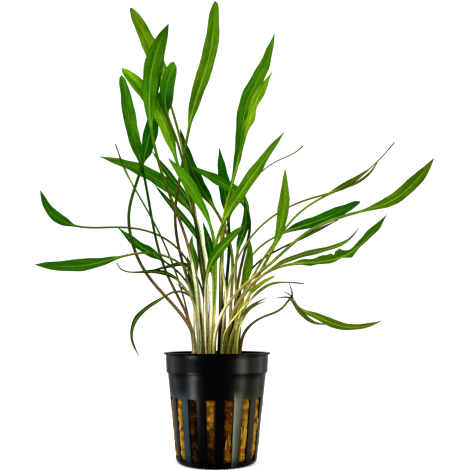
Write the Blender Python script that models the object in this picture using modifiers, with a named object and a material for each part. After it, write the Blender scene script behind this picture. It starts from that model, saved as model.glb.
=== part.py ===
"""Potted cryptocoryne: a slotted net pot, its plug of growing wool and forty-six leaves.

Metres, +Z up. The origin is the centre of the pot's underside, and the front faces -Y.
"""
import math

import bmesh
import bpy
import numpy as np
from mathutils import Vector

MM = 0.001

# Net pot
RIM_RADIUS = 27.0 * MM
RIM_HEIGHT = 53.0 * MM
LIP_THICKNESS = 0.9 * MM
COLLAR_TOP_RADIUS = 26.1 * MM
COLLAR_FOOT_RADIUS = 25.6 * MM
SHELF_HEIGHT = 43.1 * MM
BODY_TOP_RADIUS = 24.9 * MM
BODY_FOOT_RADIUS = 20.1 * MM
CORNER_RADIUS = 2.4 * MM
CORNER_STEPS = 3
EDGE_BREAK = 0.3 * MM
WALL = 1.0 * MM
FLOOR = 1.3 * MM
POT_SIDES = 48

# Slots: each runs down the wall and carries on as a narrower slot across the floor
SLOT_COUNT = 16
FIRST_SLOT_ANGLE = math.radians(-96.0)
SLOT_TOP = 31.6 * MM
SLOT_FOOT = 2.2 * MM
SLOT_WIDTH = 4.6 * MM
FLOOR_SLOT_WIDTH = 2.6 * MM
FLOOR_SLOT_INNER = 11.0 * MM
FLOOR_SLOT_OUTER = 17.0 * MM
CUT_INNER = 15.0 * MM
CUT_OUTER = 30.0 * MM
CUT_OVERLAP = 2.0 * MM

# Growing wool
WOOL_CLEARANCE = 0.4 * MM
WOOL_CROWN = 47.4 * MM
WOOL_SHOULDER = 46.2 * MM
WOOL_SHOULDER_RADIUS = 23.2 * MM
WOOL_NECK = 42.1 * MM
WOOL_FOOT = 3.3 * MM
WOOL_FOOT_BEVEL = 0.6 * MM
WOOL_SIDES = 24

# Leaves
SIGHT_POINT = Vector((9.1, -300.0, 62.0)) * MM
STAND_OFF = 0.35 * MM
DEPTH_EASE = 1.4
BASE_SWELL = 1.25
SWELL_LENGTH = 0.2
TIP_HALF_WIDTH = 0.16 * MM
BLADE_HALF_THICKNESS = 0.3 * MM
TIP_THINNING = 0.5
BLADE_FLARE = 0.25
SECTION_SIDES = 4
POINTED_TIP = 0.85
BLUNT_TIP = 0.42

FINISHES = {
    "pot_plastic": ((0.012, 0.014, 0.015), 0.35),
    "growing_wool": ((0.20, 0.10, 0.025), 0.95),
    "leaf_deep": ((0.020, 0.085, 0.018), 0.42),
    "leaf_mid": ((0.055, 0.20, 0.025), 0.42),
    "leaf_bright": ((0.13, 0.33, 0.035), 0.42),
    "leaf_dry": ((0.20, 0.14, 0.06), 0.7),
}

parts = None
cutters = None


def clear_scene():
    for item in list(bpy.data.objects):
        bpy.data.objects.remove(item, do_unlink=True)


def add_collection(name):
    collection = bpy.data.collections.new(name)
    bpy.context.scene.collection.children.link(collection)
    return collection


def make_finish(name):
    colour, roughness = FINISHES[name]
    finish = bpy.data.materials.new(name)
    finish.use_nodes = True
    shader = finish.node_tree.nodes["Principled BSDF"]
    shader.inputs["Base Color"].default_value = (*colour, 1.0)
    shader.inputs["Roughness"].default_value = roughness
    shader.inputs["Metallic"].default_value = 0.0
    finish.diffuse_color = (*colour, 1.0)
    return finish


def add_object(name, shape, collection, finish=None):
    mesh = bpy.data.meshes.new(name)
    shape.to_mesh(mesh)
    shape.free()
    item = bpy.data.objects.new(name, mesh)
    collection.objects.link(item)
    if finish:
        mesh.materials.append(finish)
        mesh.shade_smooth()
        mesh.set_sharp_from_angle(angle=math.radians(35.0))
    return item


def turned(name, profile, sides, finish):
    """A profile of (radius, height) points, outer side first, turned about Z."""
    shape = bmesh.new()
    points = [shape.verts.new((radius, 0.0, height)) for radius, height in profile]
    for upper, lower in zip(points, points[1:]):
        shape.edges.new((upper, lower))
    item = add_object(name, shape, parts)
    item.data.materials.append(finish)
    screw = item.modifiers.new("Turn", "SCREW")
    screw.axis = "Z"
    screw.steps = sides
    screw.render_steps = sides
    screw.use_merge_vertices = True
    screw.merge_threshold = 0.00005
    screw.use_smooth_shade = True
    return item


def wall_radius(height):
    """Outer radius of the slotted body at a height."""
    share = (height - CORNER_RADIUS) / (SHELF_HEIGHT - CORNER_RADIUS)
    return BODY_FOOT_RADIUS + share * (BODY_TOP_RADIUS - BODY_FOOT_RADIUS)


def pot_profile():
    lip_under = RIM_HEIGHT - LIP_THICKNESS
    outer = [
        (RIM_RADIUS - EDGE_BREAK, RIM_HEIGHT),
        (RIM_RADIUS, RIM_HEIGHT - EDGE_BREAK),
        (RIM_RADIUS, lip_under),
        (COLLAR_TOP_RADIUS, lip_under),
        (COLLAR_FOOT_RADIUS, SHELF_HEIGHT + EDGE_BREAK),
        (COLLAR_FOOT_RADIUS - EDGE_BREAK, SHELF_HEIGHT),
        (BODY_TOP_RADIUS, SHELF_HEIGHT),
    ]
    for step in range(CORNER_STEPS + 1):
        turn = 0.5 * math.pi * step / CORNER_STEPS
        outer.append((
            BODY_FOOT_RADIUS - CORNER_RADIUS * (1.0 - math.cos(turn)),
            CORNER_RADIUS * (1.0 - math.sin(turn)),
        ))
    inner = [
        (0.0, 0.0),
        (0.0, FLOOR),
        (BODY_FOOT_RADIUS - CORNER_RADIUS, FLOOR),
        (BODY_FOOT_RADIUS - WALL, CORNER_RADIUS),
        (BODY_TOP_RADIUS - WALL, SHELF_HEIGHT),
        (COLLAR_FOOT_RADIUS - WALL, SHELF_HEIGHT + WALL),
        (COLLAR_TOP_RADIUS - WALL, RIM_HEIGHT),
    ]
    profile = outer + inner
    return profile + [profile[0]]


def slot_cutter(name, width, inner, outer, foot, top):
    """One box for each slot, pointing out from the pot's axis."""
    shape = bmesh.new()
    for index in range(SLOT_COUNT):
        box = bmesh.ops.create_cube(shape, size=1.0)["verts"]
        bmesh.ops.scale(shape, verts=box, vec=(outer - inner, width, top - foot))
        middle = Vector((0.5 * (inner + outer), 0.0, 0.5 * (foot + top)))
        bmesh.ops.translate(shape, verts=box, vec=middle)
        angle = FIRST_SLOT_ANGLE + index * math.tau / SLOT_COUNT
        turn = np.array([
            [math.cos(angle), -math.sin(angle)],
            [math.sin(angle), math.cos(angle)],
        ])
        for corner in box:
            corner.co.x, corner.co.y = turn @ (corner.co.x, corner.co.y)
    cutter = add_object(name, shape, cutters)
    cutter.hide_render = True
    cutter.display_type = "WIRE"
    return cutter


def build_pot():
    pot = turned("net_pot", pot_profile(), POT_SIDES, make_finish("pot_plastic"))
    cuts = [
        slot_cutter("wall_slots", SLOT_WIDTH, CUT_INNER, CUT_OUTER, SLOT_FOOT, SLOT_TOP),
        slot_cutter("floor_slots", FLOOR_SLOT_WIDTH, FLOOR_SLOT_INNER, FLOOR_SLOT_OUTER,
                    -CUT_OVERLAP, CUT_OVERLAP),
    ]
    for cutter in cuts:
        cut = pot.modifiers.new(cutter.name, "BOOLEAN")
        cut.operation = "DIFFERENCE"
        cut.solver = "EXACT"
        cut.object = cutter


def wool_height(x, y):
    """Height of the wool's domed top above a spot."""
    share = min(1.0, math.hypot(x, y) / WOOL_SHOULDER_RADIUS)
    return WOOL_CROWN - (WOOL_CROWN - WOOL_SHOULDER) * share * share


def build_wool():
    dome = [WOOL_SHOULDER_RADIUS * share for share in (0.0, 0.35, 0.7, 1.0)]
    profile = [(radius, wool_height(radius, 0.0)) for radius in dome]
    profile += [
        (wall_radius(WOOL_NECK) - WALL - WOOL_CLEARANCE, WOOL_NECK),
        (wall_radius(WOOL_FOOT) - WALL - WOOL_CLEARANCE, WOOL_FOOT),
        (BODY_FOOT_RADIUS - CORNER_RADIUS - WOOL_FOOT_BEVEL, FLOOR + WOOL_CLEARANCE),
        (0.0, FLOOR + WOOL_CLEARANCE),
    ]
    turned("growing_wool", profile, WOOL_SIDES, make_finish("growing_wool"))


def spline(knots, values, at):
    """Smooth curve through the values at the knots, with free ends, read at some places."""
    gaps = np.diff(knots)
    slopes = np.diff(values, axis=0) / gaps[:, None]
    size = len(knots)
    matrix = np.eye(size)
    right = np.zeros((size, values.shape[1]))
    for row in range(1, size - 1):
        matrix[row, row - 1:row + 2] = gaps[row - 1], 2.0 * (gaps[row - 1] + gaps[row]), gaps[row]
        right[row] = 6.0 * (slopes[row] - slopes[row - 1])
    bends = np.linalg.solve(matrix, right)
    index = np.clip(np.searchsorted(knots, at, side="right") - 1, 0, size - 2)
    gap = gaps[index][:, None]
    before = (at - knots[index])[:, None]
    after = gap - before
    return (
        (bends[index] * after ** 3 + bends[index + 1] * before ** 3) / (6.0 * gap)
        + (values[index] / gap - bends[index] * gap / 6.0) * after
        + (values[index + 1] / gap - bends[index + 1] * gap / 6.0) * before
    )


def leaf_line(base, tip_depth, route, rings):
    """Centre line from the wool to the tip.

    The route's points are read in the upright plane through the pot's axis. Each is carried
    along its line of sight to the leaf's own depth there, so a depth can change on its own.
    """
    front = np.array([(base[0], wool_height(base[0] * MM, base[1] * MM) / MM), *route], dtype=float)
    reach = np.insert(np.cumsum(np.linalg.norm(np.diff(front, axis=0), axis=1)), 0, 0.0)
    share = reach / reach[-1]
    depth = base[1] + (tip_depth - base[1]) * share ** DEPTH_EASE
    sight = np.array(SIGHT_POINT / MM)
    flat = np.column_stack([front[:, 0], np.zeros(len(front)), front[:, 1]])
    away = 1.0 - depth / sight[1]
    points = sight + (flat - sight) * away[:, None]
    points[0] = base[0], base[1], front[0, 1] + STAND_OFF / MM
    return spline(share, points, np.linspace(0.0, 1.0, rings + 1)) * MM


def blade_outline(along, peak, blunt):
    """Half width along a blade as a share of the widest, which is at peak."""
    wave = math.sin(math.pi * along ** (math.log(0.5) / math.log(peak)))
    return max(0.0, wave) ** (BLUNT_TIP if blunt else POINTED_TIP)


def leaf(name, finish, base, tip_depth, stem, blade, roll, route,
         rings=16, peak=0.45, blunt=False, thread=0.0):
    """A leaf in one piece: a round petiole that flattens into a blade.

    base is (x, y) in mm on the wool, stem the petiole's width in mm, blade (the share of the
    length where it starts, its width in mm), and roll how far it turns from facing the front.
    thread is the share of the blade that has withered to a bare thread at its end.
    """
    line = leaf_line(base, tip_depth, route, rings)
    tangents = np.gradient(line, axis=0)
    tangents /= np.linalg.norm(tangents, axis=1)[:, None]
    shape = bmesh.new()
    bmesh.ops.create_cone(
        shape, cap_ends=True, segments=SECTION_SIDES, radius1=1.0, radius2=1.0, depth=1.0)
    uprights = [edge for edge in shape.edges if abs(edge.verts[0].co.z - edge.verts[1].co.z) > 0.5]
    bmesh.ops.subdivide_edges(shape, edges=uprights, cuts=rings - 1, use_grid_fill=True)
    start, width = blade
    turn = math.radians(roll)
    for point in shape.verts:
        share = point.co.z + 0.5
        ring = round(share * rings)
        centre = Vector(line[ring])
        tangent = Vector(tangents[ring])
        across = (SIGHT_POINT - centre).cross(tangent).normalized()
        facing = tangent.cross(across)
        side = across * math.cos(turn) + facing * math.sin(turn)
        upward = facing * math.cos(turn) - across * math.sin(turn)
        swell = 1.0 + (BASE_SWELL - 1.0) * max(0.0, 1.0 - share / SWELL_LENGTH)
        half_width = half_depth = 0.5 * stem * MM * swell
        if share > start:
            along = (share - start) / (1.0 - start)
            flare = min(1.0, along / BLADE_FLARE)
            green = min(1.0, along / (1.0 - thread))
            outline = blade_outline(green, peak, blunt) * 0.5 * width * MM
            half_width = max(outline, half_width * (1.0 - flare), TIP_HALF_WIDTH)
            half_depth += (BLADE_HALF_THICKNESS - half_depth) * flare
            half_depth *= 1.0 - TIP_THINNING * along
        angle = math.atan2(point.co.y, point.co.x)
        point.co = (
            centre
            + side * half_width * math.cos(angle)
            + upward * half_depth * math.sin(angle)
        )
    return add_object(name, shape, parts, finish)


def build_leaves():
    deep = make_finish("leaf_deep")
    mid = make_finish("leaf_mid")
    bright = make_finish("leaf_bright")
    dry = make_finish("leaf_dry")

    # Tall leaves of the left side, from the outermost inwards
    leaf("leaf_01", deep, (-12.2, 1.0), 18, 1.7, (0.72, 10.8), 40, rings=20, route=[
        (-12, 60), (-22, 76), (-39, 96), (-46, 113), (-47.4, 126), (-42.8, 146), (-38.8, 164), (-33, 194)])
    leaf("leaf_02", mid, (-12.0, -2.2), -12, 1.4, (0.64, 8.6), 40, peak=0.55, blunt=True, route=[
        (-13, 63), (-26, 92), (-35, 122), (-42, 154), (-47, 170), (-52, 194), (-54, 204)])
    leaf("leaf_03", dry, (-11.4, 4.2), 8, 1.0, (0.78, 1.3), 0, route=[
        (-14, 66), (-22, 94), (-37, 126), (-50, 149), (-56, 164)])
    leaf("leaf_04", mid, (-8.8, -7.6), -36, 1.5, (0.64, 11.2), 35, peak=0.58, route=[
        (-10, 70), (-16, 109), (-29, 144), (-35.5, 166.5), (-38, 182.5), (-38, 200), (-36, 214),
        (-32, 226.5), (-28.5, 235)])
    leaf("leaf_05", bright, (-5.0, 6.2), 26, 1.5, (0.68, 12.0), 40, blunt=True, route=[
        (-8, 95), (-17, 151), (-26.5, 187), (-34, 208.5), (-39.5, 222.5), (-44.5, 233.5), (-50, 245)])
    leaf("leaf_06", mid, (-9.4, 2.0), 6, 1.6, (0.60, 10.2), -40, rings=20, peak=0.56, blunt=True, route=[
        (-11, 72), (-19, 101), (-22.8, 124), (-20.2, 148), (-12, 191), (-5, 216), (-2.2, 249)])
    leaf("leaf_07", bright, (-4.0, -0.8), -28, 1.6, (0.62, 8.4), 30, peak=0.58, blunt=True, route=[
        (-4, 81), (-8, 109), (-22, 153), (-31, 178), (-42, 195), (-54, 208)])
    leaf("leaf_08", deep, (-6.2, -3.8), -26, 1.3, (0.80, 9.4), 40, rings=20, peak=0.5, blunt=True, route=[
        (-6, 85), (-15, 136), (-24, 170), (-27.5, 179), (-29.5, 187.5), (-29, 196), (-27.5, 203.5),
        (-25, 212)])

    # Side leaves of the left side
    leaf("leaf_09", mid, (-6.8, 8.0), 24, 1.4, (0.52, 10.4), 45, peak=0.5, route=[
        (-7, 85), (-14, 125.6), (-24.2, 137.4), (-47.2, 151.4), (-64.6, 157)])
    leaf("leaf_10", mid, (-9.6, -0.8), -1, 1.1, (0.79, 7.0), 45, rings=18, route=[
        (-10, 72), (-16, 100), (-30, 113), (-53, 118), (-75, 118.6), (-87.4, 124.4), (-95.4, 138)])
    leaf("leaf_11", mid, (-7.8, -2.2), -22, 1.2, (0.62, 8.4), 45, rings=18, peak=0.55, route=[
        (-9, 69), (-15, 94), (-26, 102), (-42, 104), (-62, 99), (-78, 97), (-96, 98)])
    leaf("leaf_12", deep, (-7.2, 4.2), 20, 1.1, (0.63, 6.8), 40, rings=12, route=[
        (-10, 71), (-17, 90), (-30, 101), (-43, 109), (-53, 118)])
    leaf("leaf_13", deep, (-8.0, -10.2), -32, 1.0, (0.50, 2.6), 40, rings=14, thread=0.2, route=[
        (-9, 64), (-15, 83), (-26, 93), (-43, 94), (-51, 96), (-53, 99)])
    leaf("leaf_14", deep, (-4.8, 2.4), 12, 1.1, (0.60, 2.2), 10, rings=12, route=[
        (-6, 69), (-10, 90), (-17, 98), (-26, 97), (-35, 95)])
    leaf("leaf_15", mid, (-6.0, -6.6), -10, 1.1, (0.52, 3.0), 45, rings=18, route=[
        (-8, 62), (-11, 78), (-20, 84), (-31, 79), (-41, 71), (-44, 62), (-40, 51)])
    leaf("leaf_16", dry, (-11.0, 6.8), 16, 1.3, (0.60, 1.8), 0, rings=8, route=[
        (-12, 67), (-14, 82), (-22, 88)])

    # Short and narrow blades inside the left half
    leaf("leaf_17", mid, (-7.2, 0.9), 4, 1.1, (0.66, 4.8), 35, rings=12, route=[
        (-8, 69), (-11, 92.5), (-12.5, 101), (-14, 107.5), (-13.5, 114)])
    leaf("leaf_18", deep, (-8.2, 9.2), 26, 1.1, (0.50, 5.6), 35, rings=10, route=[
        (-10, 66), (-13, 83), (-14, 92.5), (-16, 102.5)])
    leaf("leaf_19", deep, (-4.4, 8.4), 30, 1.2, (0.60, 4.6), 35, rings=12, route=[
        (-6, 85), (-11, 112), (-23, 128), (-34, 141)])
    leaf("leaf_20", deep, (-2.4, 1.2), 11, 1.2, (0.70, 4.4), 35, rings=14, route=[
        (-7, 85), (-10, 104), (-15, 130), (-26, 146), (-36, 160)])
    leaf("leaf_21", deep, (-2.2, 7.0), 24, 1.2, (0.55, 5.6), 35, rings=10, route=[
        (-2, 80), (-4, 105), (-8, 121)])

    # Front leaves
    leaf("leaf_22", bright, (-1.8, -10.0), -46, 1.6, (0.58, 7.4), 40, peak=0.6, route=[
        (-2, 64), (-1, 92), (-4, 119), (-12, 135), (-27, 156)])
    leaf("leaf_23", mid, (-4.6, -8.4), -42, 1.2, (0.52, 6.0), -40, rings=14, peak=0.56, route=[
        (-6.5, 76.5), (-6, 88), (-4, 97.5), (0.5, 105), (6.5, 111.5), (14, 119)])
    leaf("leaf_24", bright, (2.2, -6.8), -34, 1.3, (0.73, 6.4), -40, peak=0.5, route=[
        (3.4, 70), (4.3, 80), (2.9, 94), (1.6, 110), (9.5, 148.5), (15.5, 171.5), (19, 183.5),
        (24, 195.5), (30, 206)])
    leaf("leaf_25", mid, (-2.0, -4.4), -42, 1.5, (0.52, 7.8), -40, route=[
        (-2, 80), (-1, 109), (8, 130), (22, 151), (31, 164), (36, 171)])
    leaf("leaf_26", bright, (8.2, -4.0), -16, 1.6, (0.56, 7.2), -40, peak=0.5, route=[
        (12, 68), (22.2, 94), (31.6, 112), (35.6, 131), (36.2, 150)])
    leaf("leaf_27", mid, (10.4, -1.2), 8, 1.3, (0.56, 5.8), -35, rings=12, route=[
        (12, 69), (14.5, 88), (16.5, 99.5), (17, 106.5), (16.5, 112.5)])

    # Upright and leaning leaves of the middle and the back
    leaf("leaf_28", mid, (1.6, 2.4), 14, 1.7, (0.46, 10.4), -40, peak=0.6, route=[
        (2.2, 90), (5, 131), (12, 163), (16.2, 189), (24, 206), (31.4, 229)])
    leaf("leaf_29", dry, (0.2, -2.4), -16, 0.6, (0.95, 0.5), 0, route=[
        (1, 80), (4, 117), (16, 140), (31, 154), (44, 161), (46, 163)])
    leaf("leaf_30", deep, (7.4, 4.4), 44, 1.7, (0.60, 8.4), 40, route=[
        (7.1, 80), (7.3, 105), (0, 125), (-10, 141), (-21, 173)])
    leaf("leaf_31", mid, (8.0, 7.6), 30, 1.6, (0.62, 8.0), 40, rings=18, route=[
        (9, 74), (14, 104), (17, 120), (12, 134), (0, 143.5), (-16, 152)])
    leaf("leaf_32", deep, (3.6, 7.8), 48, 1.8, (0.62, 9.6), 38, rings=14, route=[
        (4, 80), (6, 115), (3.5, 138), (0.5, 162)])
    leaf("leaf_33", deep, (10.8, 5.0), 16, 1.5, (0.64, 6.0), -40, rings=14, route=[
        (10, 80), (11, 107), (15, 121), (14, 133)])

    # Leaves of the right side
    leaf("leaf_34", dry, (3.2, -0.4), 14, 1.1, (0.82, 1.6), 0, rings=18, route=[
        (4, 76), (10, 100), (24, 119.6), (46, 132.4), (72, 141), (82, 148), (87, 155)])
    leaf("leaf_35", mid, (5.8, -2.2), 2, 1.2, (0.66, 3.6), -35, rings=20, thread=0.35, route=[
        (13, 80.4), (30.6, 110.6), (45.6, 127.6), (64.6, 138.8), (78.6, 147.6), (86.5, 154.5), (96, 165)])
    leaf("leaf_36", mid, (-1.0, -13.9), -8, 1.6, (0.66, 8.6), -42, rings=20, peak=0.6, route=[
        (-0.2, 66), (8, 81), (28.6, 99.4), (47.6, 115.4), (71.8, 125.4), (93.4, 132.6),
        (106.6, 143.4), (117, 156)])
    leaf("leaf_37", deep, (9.2, 1.6), 34, 1.2, (0.60, 9.2), -45, peak=0.6, blunt=True, route=[
        (11, 74), (19, 104), (35, 115), (55, 122), (76, 132)])
    leaf("leaf_38", deep, (5.8, 1.6), 22, 1.0, (0.70, 2.2), -30, rings=14, route=[
        (9, 73), (19, 97), (36, 108), (64, 122)])
    leaf("leaf_39", dry, (3.0, -4.2), -6, 1.2, (0.46, 3.6), -40, route=[
        (6, 66), (19, 88), (38, 101), (60, 107), (70, 112), (75, 118)])
    leaf("leaf_40", mid, (5.4, -6.2), -36, 1.4, (0.48, 7.8), -42, rings=20, route=[
        (6, 66), (18, 88), (33, 97), (50, 99), (66.6, 102.6), (81, 114), (90, 125)])
    leaf("leaf_41", bright, (8.0, -6.8), -22, 1.2, (0.66, 2.5), -35, rings=8, blunt=True, route=[
        (11, 69), (19, 85), (30, 92)])
    leaf("leaf_42", deep, (2.8, -9.4), -32, 1.0, (0.50, 1.8), -35, rings=14, thread=0.2, route=[
        (4, 63), (14, 76), (26, 87), (45, 88)])
    leaf("leaf_43", deep, (5.2, -9.0), -18, 0.9, (0.50, 1.4), -35, rings=8, route=[
        (9, 66), (17, 76), (26, 81)])
    leaf("leaf_44", deep, (10.4, -6.0), -32, 0.9, (0.50, 1.3), -35, rings=8, route=[
        (11, 62), (17, 75), (25, 79)])
    leaf("leaf_45", mid, (11.6, -2.6), -24, 1.1, (0.50, 5.6), -45, rings=22, route=[
        (14.5, 64), (24, 71), (35, 77), (38, 80), (41, 77), (49, 72), (64, 66), (76, 66), (85, 69)])
    leaf("leaf_46", dry, (11.8, 0.8), -6, 1.1, (0.58, 2.6), -30, rings=20, route=[
        (15, 64), (24, 71), (35, 77), (38, 80), (41, 76), (44, 72), (50, 68), (57, 67)])


clear_scene()
parts = add_collection("potted_cryptocoryne")
cutters = add_collection("cutters")
build_pot()
build_wool()
build_leaves()
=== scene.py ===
import math
import random

import bmesh
import bpy
import numpy as np
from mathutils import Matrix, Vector, noise


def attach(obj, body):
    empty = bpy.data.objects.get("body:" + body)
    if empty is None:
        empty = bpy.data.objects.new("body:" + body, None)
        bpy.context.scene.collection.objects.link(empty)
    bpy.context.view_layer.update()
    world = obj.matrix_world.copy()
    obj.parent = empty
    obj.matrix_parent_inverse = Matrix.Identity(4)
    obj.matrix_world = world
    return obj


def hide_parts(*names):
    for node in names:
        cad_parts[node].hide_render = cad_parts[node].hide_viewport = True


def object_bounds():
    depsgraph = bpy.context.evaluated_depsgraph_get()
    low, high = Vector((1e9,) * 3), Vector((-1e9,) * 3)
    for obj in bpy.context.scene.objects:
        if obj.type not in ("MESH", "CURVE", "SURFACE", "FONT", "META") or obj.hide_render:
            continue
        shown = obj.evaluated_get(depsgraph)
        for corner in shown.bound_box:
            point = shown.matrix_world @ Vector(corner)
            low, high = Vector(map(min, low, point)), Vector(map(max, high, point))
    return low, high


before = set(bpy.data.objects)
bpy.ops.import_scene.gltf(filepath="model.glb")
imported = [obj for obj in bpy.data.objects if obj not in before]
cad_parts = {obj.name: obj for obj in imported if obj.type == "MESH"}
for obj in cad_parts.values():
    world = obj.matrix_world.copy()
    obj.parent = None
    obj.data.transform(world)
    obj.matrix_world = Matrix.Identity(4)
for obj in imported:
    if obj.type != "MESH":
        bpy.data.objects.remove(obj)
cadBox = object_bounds()
mm = 0.001


# Shader helpers

class Wire:
    # a number that varies over a surface: Python's operators on it add Math nodes
    def __init__(self, look, socket):
        self.look = look
        self.socket = socket

    def math(self, operation, *values):
        return self.look.node("ShaderNodeMath", {"operation": operation}, dict(enumerate(values)))

    def __add__(self, other): return self.math("ADD", self, other)
    def __radd__(self, other): return self.math("ADD", other, self)
    def __sub__(self, other): return self.math("SUBTRACT", self, other)
    def __rsub__(self, other): return self.math("SUBTRACT", other, self)
    def __mul__(self, other): return self.math("MULTIPLY", self, other)
    def __rmul__(self, other): return self.math("MULTIPLY", other, self)
    def __truediv__(self, other): return self.math("DIVIDE", self, other)
    def __rtruediv__(self, other): return self.math("DIVIDE", other, self)
    def __pow__(self, other): return self.math("POWER", self, other)
    def sin(self): return self.math("SINE", self)
    def abs(self): return self.math("ABSOLUTE", self)

    def span(self, low, high):
        # 0 below low, 1 above high, smooth between
        return self.look.node("ShaderNodeMapRange", {"interpolation_type": "SMOOTHSTEP"},
                              {"Value": self, "From Min": low, "From Max": high})


class Look:
    # one Principled material and the nodes that feed it
    def __init__(self, name, colour, specular):
        self.material = bpy.data.materials.new(name)
        self.material.use_nodes = True
        self.material.diffuse_color = (*colour, 1.0)
        self.tree = self.material.node_tree
        self.sockets = self.tree.nodes["Principled BSDF"].inputs
        self.sockets["Base Color"].default_value = (*colour, 1.0)
        self.sockets["Specular IOR Level"].default_value = specular

    def feed(self, socket, value):
        if isinstance(value, Wire):
            self.tree.links.new(value.socket, socket)
        elif hasattr(value, "__len__") and len(value) == 3 and len(socket.default_value) == 4:
            socket.default_value = (*value, 1.0)
        else:
            socket.default_value = value

    def node(self, kind, settings, values, output=0):
        made = self.tree.nodes.new(kind)
        for key, value in settings.items():
            setattr(made, key, value)
        for key, value in values.items():
            self.feed(made.inputs[key], value)
        return Wire(self, made.outputs[output])

    def place(self):
        return self.node("ShaderNodeTexCoord", {}, {}, "Object")

    def attribute(self, name, output="Vector"):
        return self.node("ShaderNodeAttribute", {"attribute_name": name}, {}, output)

    def axis(self, vector, letter):
        return self.node("ShaderNodeSeparateXYZ", {}, {0: vector}, letter)

    def noise(self, place, scale, detail, roughness, distortion=0.0):
        # a scale of three numbers stretches the pattern
        if isinstance(scale, tuple):
            place, scale = self.node("ShaderNodeMapping", {}, {"Vector": place, "Scale": scale}), 1.0
        return self.node("ShaderNodeTexNoise", {}, {
            "Vector": place, "Scale": scale, "Detail": detail,
            "Roughness": roughness, "Distortion": distortion})

    def blend(self, mask, first, second, mode="MIX"):
        return self.node("ShaderNodeMix", {"data_type": "RGBA", "blend_type": mode},
                         {0: mask, 6: first, 7: second}, 2)

    def tinted(self, mask, colour, factors):
        # the colour multiplied by the factors as far as the mask says
        return self.blend(mask, colour, self.blend(1.0, colour, factors, "MULTIPLY"))

    def finish(self, colour, roughness, height=None, depth=0.0, strength=0.0):
        self.feed(self.sockets["Base Color"], colour)
        self.feed(self.sockets["Roughness"], roughness)
        if height is not None:
            bump = self.node("ShaderNodeBump", {}, {
                "Height": height, "Distance": depth, "Strength": strength}, "Normal")
            self.feed(self.sockets["Normal"], bump)
        return self.material


def linear(red, green, blue):
    # a colour as a screen shows it, 0 to 255, in linear light
    def one(value):
        value /= 255.0
        return value / 12.92 if value <= 0.04045 else ((value + 0.055) / 1.055) ** 2.4
    return one(red), one(green), one(blue)


def tintAt(stops, at):
    # the colour between stops of (place, red, green, blue), in linear light
    channels = zip(*(linear(*stop[1:]) for stop in stops))
    return [float(np.interp(at, [stop[0] for stop in stops], channel)) for channel in channels]


def mixTint(first, second, share):
    share = min(1.0, max(0.0, share))
    return [one + (two - one) * share for one, two in zip(first, second)]


# Camera: 300 mm in front of the pot, a little right of its axis, tilted up

view = dict(place=(9.1, -300.0, 62.0), tiltUp=0.171, pictureSide=470, focalPixels=575.0, sensor=36.0,
            nearest=0.01)


def addCamera():
    data = bpy.data.cameras.new("camera")
    data.sensor_width = view["sensor"]
    data.lens = view["focalPixels"] / view["pictureSide"] * view["sensor"]
    data.clip_start = view["nearest"]
    camera = bpy.data.objects.new("camera", data)
    camera.location = Vector(view["place"]) * mm
    camera.rotation_euler = (0.5 * math.pi + view["tiltUp"], 0.0, 0.0)
    bpy.context.scene.collection.objects.link(camera)
    bpy.context.scene.camera = camera


# Shape helpers: lines and sizes are in mm, meshes in metres

def addPiece(name, shape, material, slot, node=None):
    mesh = bpy.data.meshes.new(name)
    shape.to_mesh(mesh)
    shape.free()
    mesh.materials.append(material)
    mesh.shade_smooth()
    piece = bpy.data.objects.new(name, mesh)
    bpy.context.scene.collection.objects.link(piece)
    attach(piece, "root")
    if node:
        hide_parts(node)
    return piece


def travelled(points):
    # how far along its line each point lies
    return np.insert(np.cumsum(np.linalg.norm(np.diff(points, axis=0), axis=1)), 0, 0.0)


def spline(knots, values, at):
    # smooth curve through the values at the knots, with free ends
    gaps = np.diff(knots)
    slopes = np.diff(values, axis=0) / gaps[:, None]
    size = len(knots)
    matrix = np.eye(size)
    right = np.zeros((size, values.shape[1]))
    for row in range(1, size - 1):
        matrix[row, row - 1:row + 2] = gaps[row - 1], 2.0 * (gaps[row - 1] + gaps[row]), gaps[row]
        right[row] = 6.0 * (slopes[row] - slopes[row - 1])
    bends = np.linalg.solve(matrix, right)
    index = np.clip(np.searchsorted(knots, at, side="right") - 1, 0, size - 2)
    gap = gaps[index][:, None]
    before = (at - knots[index])[:, None]
    after = gap - before
    return ((bends[index] * after ** 3 + bends[index + 1] * before ** 3) / (6.0 * gap)
            + (values[index] / gap - bends[index] * gap / 6.0) * after
            + (values[index + 1] / gap - bends[index + 1] * gap / 6.0) * before)


def turned(points):
    # a line of (radius, height) points, turned once round the pot's axis
    shape = bmesh.new()
    line = [shape.verts.new((radius * mm, 0.0, height * mm)) for radius, height in points]
    edges = [shape.edges.new(pair) for pair in zip(line, line[1:])]
    bmesh.ops.spin(shape, geom=line + edges, axis=(0.0, 0.0, 1.0), cent=(0.0, 0.0, 0.0),
                   angle=math.tau, steps=pot["columns"], use_merge=True)
    bmesh.ops.remove_doubles(shape, verts=shape.verts, dist=0.004 * mm)
    bmesh.ops.recalc_face_normals(shape, faces=shape.faces)
    return shape


def tube(shape, sides, rings):
    # a closed unit tube along Z; returns its points, so that a route can bend it
    first = len(shape.verts)
    ends = bmesh.ops.create_cone(
        shape, cap_ends=True, segments=sides, radius1=1.0, radius2=1.0, depth=1.0)["verts"]
    uprights = [edge for point in ends if point.co.z < 0.0 for edge in point.link_edges
                if abs(edge.verts[0].co.z - edge.verts[1].co.z) > 0.5]
    bmesh.ops.subdivide_edges(shape, edges=uprights, cuts=rings - 1, use_grid_fill=True)
    shape.verts.ensure_lookup_table()
    return shape.verts[first:]


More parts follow.
